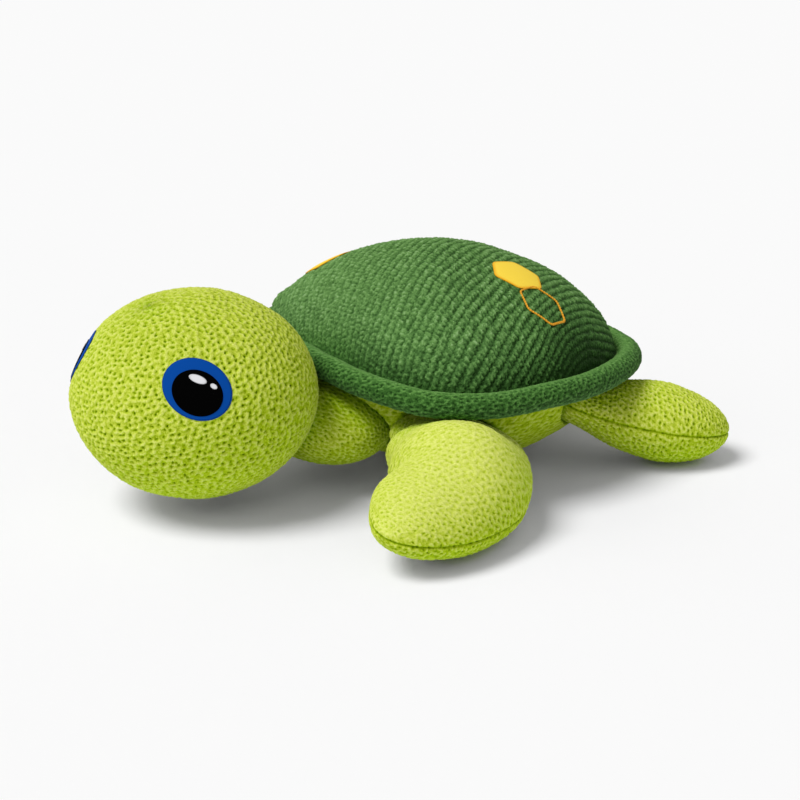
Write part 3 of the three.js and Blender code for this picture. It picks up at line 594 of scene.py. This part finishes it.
def makeRim():
    # the roll: centre + outward x half width x cos + upward x half height x sin of the angle round it, where each
    # half size grows by the relief. Its rows run along the roll.
    rollLength = math.tau * (shell["rollHalfWidth"] + shell["rollHalfHeight"]) / 2
    knit = dict(rimKnit, rowHeight=rollLength / round(rollLength / rimKnit["rowHeight"]))
    cols = knit["cols"]
    fine = np.linspace(0, math.tau, 4001)
    length = lengthAlong(rimCentre(fine))
    centre, outward = rimFrame(np.interp(np.arange(cols) / cols * length[-1], length, fine))
    # the last row repeats the first, so the mesh leaves it out
    rollTurn = np.arange(knit["round"] + 1) / knit["round"]
    rollAngle = math.pi + math.tau * rollTurn
    ringLength = np.full(len(rollTurn), length[-1])
    stitch = loopStitches(rollTurn * rollLength, np.arange(cols) / cols, ringLength, knit)
    # the yarn lies flatter along the top of the roll, where the dome's seam stretches it, and is painted brighter
    # there: painted light from above
    flatter = knit["topFlat"] * bell(rollAngle - knit["topTurn"] * math.pi, knit["topReach"])[:, None]
    # the roll is drawn a little darker all over, and darker still on its outer side, which faces sideways away from
    # the light above: painted shade
    outer = np.clip(np.cos(rollAngle), 0, 1)[:, None]
    stitch = np.clip(stitch - knit["shade"] - knit["outerPaintedShade"] * outer, 0, 1)
    stitch = stitch * (1 - flatter) + knit["litTopLevel"] * flatter
    grow = (stitch - 0.7) * knit["relief"] - knit["sunk"]
    sideways = (shell["rollHalfWidth"] + grow) * np.cos(rollAngle)[:, None]
    rise = (shell["rollHalfHeight"] + grow) * np.sin(rollAngle)[:, None]
    points = centre + outward * sideways[..., None] + upward * rise[..., None]
    # the roll sinks a little at the right front corner
    toDrop = sizeOf(centre[:, :2] - knit["dropAt"])
    lift = knit["lumps"] * lumps(centre, 30, 3) - knit["drop"] * bell(toDrop, knit["dropReach"])
    points += upward * lift[None, :, None]
    return addLoop("shellRim", points[:-1], darkYarn, ["shell_rim_cover", "shell_rim_filling"], stitch[:-1])


def makeDome():
    # a power oval over the shell's edge: out by cos ** power and up by sin ** power of the slope, from the apex down
    knit = domeKnit
    angle = math.tau * np.arange(knit["around"]) / knit["around"]
    edge, outward = baseEdge(angle), rimFrame(angle)[1]
    power = (shell["power"] - shell["lean"] * np.sin(angle))[None, :, None]
    slope = np.linspace(math.pi / 2, 0, knit["over"] + 1)[1:][:, None, None]
    out, rise = np.cos(slope) ** power, np.sin(slope) ** power
    rise = baseLift + (shell["rise"] - baseLift) * rise
    points = shellMiddle + (edge - shellMiddle)[None] * out + upward * rise
    apex = np.broadcast_to(shellMiddle + upward * shell["rise"], (1,) + points.shape[1:])
    arc = np.cumsum(sizeOf(np.diff(np.concatenate([apex, points]), axis=0)), 0)
    toSeam = arc[-1:] - arc
    # the cloth is laid out flat by its arc and bearing from the apex, and its ribs run straight across that
    bearing = np.arctan2(edge[:, 1] - shellMiddle[1], edge[:, 0])
    across, along = turned(arc * np.cos(bearing), arc * np.sin(bearing), -knit["ribTurn"])
    across = across + knit["waver"] * lumps(points, 45, 5)
    # near the left rear edge they bend round one place
    bend = bell(sizeOf(points - knit["bendAt"]), knit["bendReach"])
    across = across + knit["bend"] * bend
    ahead = (-0.5 * points[..., 0] - 0.87 * points[..., 1]) / 90  # from -1 at the rear left to 1 at the front right
    stitch = ribStitches(across, along, knit, knit["calm"] * np.clip(0.25 + 1.1 * ahead, 0, 1))
    normal = domeNormal(points[..., 0], points[..., 1])
    normal[-1] = gridNormals(points, shellMiddle)[-1]
    # the cloth is drawn into the seam at its edge, and lies flat under the patches
    drawn = bell(toSeam, knit["drawnReach"], 1)
    covered = underPatch(points)
    relief = (stitch - 0.6) * knit["relief"] * (1 - covered) - knit["pressed"] * covered
    # the filling stands out a little at the right front corner
    swell = bell(sizeOf(points - knit["swellAt"]), knit["swellReach"])
    relief = relief + domeLumps(points) + knit["swell"] * swell
    # its edge is sewn into the roll, so it reaches a little past the roll's inner side
    points = points + normal * (relief * (1 - drawn))[..., None] + outward * (knit["tuck"] * drawn)[..., None]
    # painted light and shade: the yarn is painted paler towards the head, on the side the light comes from, and
    # painted darker towards the rear left edge, away from the light, and in a band along the seam, where shade falls
    leftSide = np.clip(0.45 + points[..., 0] / 70, 0.3, 1)
    seamPaintedShade = leftSide * knit["seamPaintedShade"] * bell(toSeam, knit["seamReach"], 1.6)
    paintedShading = knit["paintedShading"] + knit["aheadLight"] * ahead - knit["bendShade"] * bend - seamPaintedShade
    stitch = np.clip(stitch * (1 - knit["bendFlat"] * bend) + paintedShading, 0, 1) * (1 - knit["drawnShade"] * drawn)
    # underneath, straight lines close it from the edge to the middle
    inward = np.linspace(1, 0, knit["under"] + 1)[1:-1][:, None, None]
    edge = edge + outward * knit["tuck"]
    under = shellMiddle + (edge - shellMiddle)[None] * inward + upward * baseLift
    points = np.concatenate([points, under])
    stitch = np.concatenate([stitch, np.full(under.shape[:2], 0.5)])
    return addPiece("shellDome", points[::-1], darkYarn, ["shell_cover", "shell_filling"], stitch[::-1])


def makeBase():
    # a thin plate on the base cone, straight lines from the middle to the edge, closed over its edge
    angle = math.tau * np.arange(baseKnit["around"]) / baseKnit["around"]
    edge = baseEdge(angle, -domeKnit["tuck"])
    steps = np.linspace(0, 1, baseKnit["steps"] + 1)[1:]
    low = shellMiddle + (edge - shellMiddle)[None] * steps[:, None, None] - upward * shell["cloth"] / 2
    stitch = ribStitches(low[..., 0], low[..., 1], dict(domeKnit, ribPitch=baseKnit["ribPitch"]))
    low = low + upward * ((0.6 - stitch) * baseKnit["relief"])[..., None]
    high = (low + upward * (shell["cloth"] * baseKnit["thickness"]))[::-1]
    points, stitch = np.concatenate([low, high]), np.concatenate([stitch, stitch[::-1]])
    return addPiece("shellBase", points, darkYarn, ["shell_base_panel"], stitch)


for piece, fill in ((makeRim(), 0.9), (makeDome(), 0.9), (makeBase(), 0.2)):
    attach(piece, "trunk")
for word, pair in patches["pairs"].items():
    makePatches(word, pair)
print("shell made")

# Flippers. The loops are the light yarn's stitches on every piece.

loops = {"rowHeight": 2.75, "stitchWidth": 3.8, "loopWidth": 2.9, "loopHeight": 2.4, "yarn": 1.5, "gapAt": 0.62,
         "gapWidth": 0.34, "stray": 0.6, "fuzz": 0.2, "poleFade": 7.0, "poleLean": 0.0}
flipperKnit = dict(loops, rowHeight=2.5, stitchWidth=3.3, loopWidth=2.6, loopHeight=2.1, yarn=1.3, relief=1.6,
                   cols=300, capRows=16, sunk=0.3, leastWidth=0.25, seamDepth=0.9, seamWidth=0.6,
                   seamShade=0.65, softWidth=4.0, softened=0.6, calmed=2.4, lumps=0.4)


def makeFlipper(name, limb, mirrored):
    # a tube of oval sections: middle + side x width x cos + over x thickness x sin of the angle round it, which is
    # spaced evenly by length on the fullest oval
    knit = flipperKnit
    stations = limbStations(limb, limb["rows"], knit["capRows"], -knit["sunk"])
    keep = stations["width"] > knit["leastWidth"]
    stations = {key: value[keep] for key, value in stations.items()}
    keys = ("middle", "side", "over", "width", "thickness", "share")
    middle, side, over, width, thickness, share = (stations[key][:, None] for key in keys)
    fine = np.linspace(0, math.tau, 2001)
    length = lengthAlong(np.stack([limb["halfWidth"] * np.cos(fine), limb["halfThickness"] * np.sin(fine)], -1))
    turn = np.arange(knit["cols"]) / knit["cols"]
    around = np.interp(turn * length[-1], length, fine)
    rise = np.sin(around) * np.where(np.sin(around) < 0, limb["underside"], 1.0)
    points = middle + side * (width * np.cos(around))[..., None] + over * (thickness * rise)[..., None]
    # the front edge swells at the shoulder and is drawn in at the fold, and the upper side stands up at the crest:
    # each is a bell curve along the flipper, times how far a point faces that way, to the power 1.5
    front, high = np.clip(-np.cos(around), 0, 1), np.clip(np.sin(around), 0, 1)
    for key, way, faces in (("shoulder", -side, front), ("pinch", -side, front), ("crest", over, high)):
        if key in limb:
            at, reach, amount = limb[key]
            points = points + way * (amount * bell(share - at, reach) * faces ** 1.5)[..., None]
    ringLength = length[-1] * stations["width"] / limb["halfWidth"]
    arc = 0.5 + lengthAlong(np.column_stack([stations["middle"], stations["width"]]))
    stitch = loopStitches(arc, turn, ringLength, knit)
    # the upper side, on which the light falls, is painted paler: painted light. Its stitches stand out less.
    stitch = 0.6 + (stitch - 0.6) * (1 - knit["calmed"] * limb["paintedTopLight"] * high)
    normal = gridNormals(points, middle)
    # the two halves meet in a sewn edge, which pulls the cloth in. In front it shows only past the fold.
    fromSeam = np.abs(np.sin(around)) * thickness
    hidden = front * np.clip((limb["smoothTo"] - share) / 0.1, 0, 1)
    seam = bell(fromSeam, knit["seamWidth"]) * (1 - hidden)
    flattened = (knit["softened"] + (1 - knit["softened"]) * hidden) * bell(fromSeam, knit["softWidth"])
    grow = (stitch - 0.7) * knit["relief"] * (1 - flattened) - knit["seamDepth"] * seam
    grow += knit["lumps"] * lumps(points, 30, 11)
    points = points + normal * grow[..., None]
    # painted light: the upper side is painted paler, and the seam is drawn darker
    stitch = (stitch + limb["paintedTopLight"] * high) * (1 - knit["seamShade"] * seam)
    points[..., 2] = np.maximum(points[..., 2], restHeight)
    if mirrored:
        points, stitch = (points * mirrorX)[:, ::-1], stitch[:, ::-1]
    nodes = [f"{name}_top", f"{name}_bottom", f"{name}_filling"]
    piece = addPiece(f"{name}_knit", points, lightYarn, nodes, stitch)
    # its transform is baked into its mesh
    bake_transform(piece)


for side, mirrored in (("left", False), ("right", True)):
    makeFlipper(f"front_{side}_flipper", frontFlipper, mirrored)
    makeFlipper(f"rear_{side}_flipper", rearFlipper, mirrored)
print("flippers made")

# Eyes. Each is placed by its direction from the head's middle, before the head turns.

eyes = {"side": 48.75, "up": 19.0, "tilt": -34.0, "iris": (16.8, 13.8), "thickness": 0.25, "gap": 0.06,
        "edge": 0.7, "dip": 1.3, "dipReach": 1.5, "softEdge": 1.5, "deepest": 12, "rings": 26, "arcs": 120}


def eyeFrame(side):
    # the eye's middle on the head's oval, and the directions across it, up it and out of it
    turn, lift = math.radians(eyes["side"]), math.radians(eyes["up"])
    direction = np.array([side * math.sin(turn) * math.cos(lift), -math.cos(turn) * math.cos(lift), math.sin(lift)])
    middle = direction / np.linalg.norm(direction / head["radii"])
    out = unit(middle / head["radii"] ** 2)
    level = unit(np.cross(upward, out))
    return middle, level, np.cross(out, level), out


def turnHead(points, sign=1):
    # the head's turn about the upright axis, or back with -1
    return np.stack([*turned(points[..., 0], points[..., 1], head["turn"] * sign), points[..., 2]], -1)


def outFromEye(points):
    # how far a point on the head is from the nearer eye's middle, in shares of the iris: 1 is its edge
    nearest = np.full(points.shape[:-1], farOff)
    local = turnHead(points - head["centre"], -1)
    for side in (1, -1):
        middle, level, upright, out = eyeFrame(side)
        off = local - middle
        flatX, flatY = turned(off @ level, off @ upright, -eyes["tilt"] * side)
        share = np.hypot(flatX / eyes["iris"][0], flatY / eyes["iris"][1])
        nearest = np.minimum(nearest, np.where(off @ out > -eyes["deepest"], share, farOff))
    return nearest


def underEye(points):
    # 1 where an eye covers the head and 0 outside, with a soft edge
    return np.clip(0.5 - (outFromEye(points) - 1) * eyes["iris"][1] / eyes["softEdge"], 0, 1)


def eyeDip(points):
    # the felt draws the head in a little: (1 - (share / reach) ** 2) ** 2 times the deepest dip
    return eyes["dip"] * np.clip(1 - (outFromEye(points) / eyes["dipReach"]) ** 2, 0, 1) ** 2


# Body, neck and head. The gaps are those that their neighbours keep, and "pole" is where the rounds start.

bodyKnit = dict(loops, relief=1.4, rows=200, cols=420, pole="z", lumps=0.5, seed=21, baseGap=0.4,
                limbGap=0.45, rimGap=1.0, neckGap=0.5)
neckKnit = dict(flipperKnit, relief=1.3, rows=160, cols=280, pole="y", lumps=0.5, seed=23,
                headGap=0.6)
headKnit = dict(loops, relief=1.8, rows=310, cols=700, pole="z", poleLean=22.0, lumps=0.3, seed=25, pressed=0.1)
lumpSize = 36


def knitEgg(shape, knit):
    # the egg's points, moved out from its centre by the stitches' relief and the lumps. Under the eyes the stitches
    # are pressed flat and the head dips.
    points, arc, ringLength, turn = eggGrid(shape, knit)
    stitch = loopStitches(arc, turn, ringLength, knit)
    relief = (stitch - 0.75) * knit["relief"]
    uneven = knit["lumps"] * lumps(points, lumpSize, knit["seed"])
    if shape is head:
        covered = underEye(points)
        relief = relief * (1 - covered) - knit["pressed"] * covered
        uneven -= eyeDip(points)
    return points + unit(points - shape["centre"]) * (relief + uneven)[..., None], stitch


def bodyGrid():
    # an egg, cut off level with the floor and under the shell's base, and pressed in by all that touches it
    points, stitch = knitEgg(body, bodyKnit)
    under = baseAt(points[..., 0], points[..., 1]) - baseLift - bodyKnit["baseGap"]
    points[..., 2] = np.clip(points[..., 2], restHeight, under)
    target = body["centre"] * [1, 1, 0.9]
    for limb in (frontFlipper, rearFlipper):
        stations = limbStations(limb, 60, 12)
        mirrored = {key: value * mirrorX if value.ndim == 2 else value for key, value in stations.items()}
        for near in (stations, mirrored):
            points = pressIn(points, near, bodyKnit["limbGap"], target, 0.4, 110)
    centre, outward = rimFrame(np.linspace(0, math.tau, 240, endpoint=False))
    roll = {"middle": centre, "forward": np.cross(outward, upward), "side": outward,
            "over": np.broadcast_to(upward, centre.shape), "width": np.full(240, shell["rollHalfWidth"]),
            "thickness": np.full(240, shell["rollHalfHeight"])}
    points = pressIn(points, roll, bodyKnit["rimGap"], body["centre"])
    # the neck's lobe is pressed into the front: points inside its egg go back to its rear side
    radii = neck["radii"] + bodyKnit["neckGap"]
    off = (points - neck["centre"]) / radii
    rear = np.sqrt(np.clip(1 - off[..., 0] ** 2 - off[..., 2] ** 2, 0, None)) * radii[1]
    inside = sizeOf(off) < 1
    points[..., 1] = np.where(inside, neck["centre"][1] + rear, points[..., 1])
    return points, stitch


def neckGrid():
    # an egg, where points inside the head's oval and its gap move out to it: the head's round seat
    points, stitch = knitEgg(neck, neckKnit)
    off = points - head["centre"]
    depth = sizeOf(off / (head["radii"] + neckKnit["headGap"]))[..., None]
    points = np.where(depth < 1, head["centre"] + off / np.maximum(depth, 0.2), points)
    return points, stitch


eggs = {}
for name, (points, stitch) in {"body": bodyGrid(), "neck": neckGrid(), "head": knitEgg(head, headKnit)}.items():
    eggs[name] = addPiece(f"{name}Knit", points, lightYarn, [f"{name}_cover", f"{name}_filling"], stitch)
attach(eggs["body"], "trunk")
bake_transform(eggs["neck"])
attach(eggs["head"], "head")
print("body, neck and head made")

# The layers of an eye: half sizes, place across and up it, tilt, number of layers below, cloth and node

eyeLayers = {"Iris": (eyes["iris"], (0, 0), eyes["tilt"], 0, blueFelt, "iris"),
             "Pupil": ((12.0, 10.1), (0, -1.8), eyes["tilt"], 1, blackFelt, "pupil"),
             "LargeGlint": ((4.2, 1.8), (0.4, 4.4), -24.0, 2, whiteThread, "large_glint"),
             "SmallGlint": ((1.7, 1.1), (7.3, 0.9), eyes["tilt"], 2, whiteThread, "small_glint")}


def onHead(side, across, rise, height):
    # a point moved across and up the eye is brought back to the head's oval, then lifted off it
    middle, level, upright, out = eyeFrame(side)
    point = middle + level * across[..., None] + upright * rise[..., None]
    point = point / sizeOf(point / head["radii"])[..., None]
    point = point + unit(point / head["radii"] ** 2) * height[..., None]
    point = turnHead(point) + head["centre"]
    shift = headKnit["lumps"] * lumps(point, lumpSize, headKnit["seed"]) - eyeDip(point)
    return point + unit(point - head["centre"]) * shift[..., None]


def makeEyeLayer(word, side, name, halfSizes, at, tilt, below, cloth, node):
    # an oval disc laid on the head, with its edge turned down and drawn darker
    rounded = 0.985 - 0.015 * np.cos(np.linspace(0, math.tau, 9))
    share, crown, tone = discProfile(eyes["rings"], rounded, 0.3, min(halfSizes) / eyes["edge"])
    around = math.tau * np.arange(eyes["arcs"]) / eyes["arcs"]
    flatX, flatY = turned(halfSizes[0] * np.cos(around), halfSizes[1] * np.sin(around), tilt * side)
    low = eyes["gap"] + below * (eyes["thickness"] + eyes["gap"])
    height = low + eyes["thickness"] * crown + 0 * flatX
    points = onHead(side, share * flatX + side * at[0], share * flatY + at[1], height)
    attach(addPiece(word + name, points, cloth, [f"{word}_eye_{node}"], tone + 0 * flatX), "head")


for word, side in (("left", 1), ("right", -1)):
    for name, layer in eyeLayers.items():
        makeEyeLayer(word, side, name, *layer)
print("eyes made")

# Studio

studio = {"target": (0, -0.03, 0.03), "azimuth": 60.0, "elevation": 18.0, "distance": 1.0, "lens": 90.0,
          "floor": "#fbfbfb", "halfFloor": 6.0, "key": 2.17, "keySpread": 28.0, "keyFrom": (0.07, -0.67, 1.0),
          "fill": 0.42}


def addStudioObject(name, data):
    item = bpy.data.objects.new(name, data)
    item.rotation_mode = "QUATERNION"
    bpy.context.scene.collection.objects.link(item)
    return item


def makeStudio():
    # the camera stands back from its target at the azimuth and elevation that the photo shows
    scene = bpy.context.scene
    a, e = math.radians(studio["azimuth"]), math.radians(studio["elevation"])
    back = Vector((math.sin(a) * math.cos(e), -math.cos(a) * math.cos(e), math.sin(e)))
    cameraData = bpy.data.cameras.new("camera")
    cameraData.lens, cameraData.sensor_width = studio["lens"], 36.0
    camera = addStudioObject("camera", cameraData)
    camera.location = Vector(studio["target"]) + back * studio["distance"]
    camera.rotation_quaternion = (-back).to_track_quat("-Z", "Y")
    scene.camera = camera

    # a sweep of white paper, matt and even
    floorMaterial, tree = newMaterial("paper_sweep")
    paper = addNode(tree, "BsdfDiffuse", {"Color": linear(studio["floor"])})["BSDF"]
    addNode(tree, "OutputMaterial", {"Surface": paper})
    floorMesh = bpy.data.meshes.new("floor")
    half = studio["halfFloor"]
    corners = [(-half, -half, 0), (half, -half, 0), (half, half, 0), (-half, half, 0)]
    floorMesh.from_pydata(corners, [], [(0, 1, 2, 3)])
    floorMesh.materials.append(floorMaterial)
    floor = addStudioObject("floor", floorMesh)

    keyData = bpy.data.lights.new("key", "SUN")
    keyData.energy, keyData.angle = studio["key"], math.radians(studio["keySpread"])
    key = addStudioObject("key", keyData)
    key.rotation_quaternion = (-Vector(studio["keyFrom"])).to_track_quat("-Z", "Y")

    # the world fills the shadows, and the camera sees it as the paper
    world = bpy.data.worlds.new("studio")
    scene.world = world
    world.use_nodes = True
    tree = world.node_tree
    tree.nodes.clear()
    light = addNode(tree, "Background", {"Color": (1, 1, 1, 1), "Strength": studio["fill"]})[0]
    seen = addNode(tree, "Background", {"Color": linear(studio["floor"]), "Strength": 1.0})[0]
    cameraRay = addNode(tree, "LightPath")["Is Camera Ray"]
    mix = addNode(tree, "MixShader", {0: cameraRay, 1: light, 2: seen})[0]
    addNode(tree, "OutputWorld", {"Surface": mix})
    scene.view_settings.view_transform = "Standard"


makeStudio()
print("studio made")
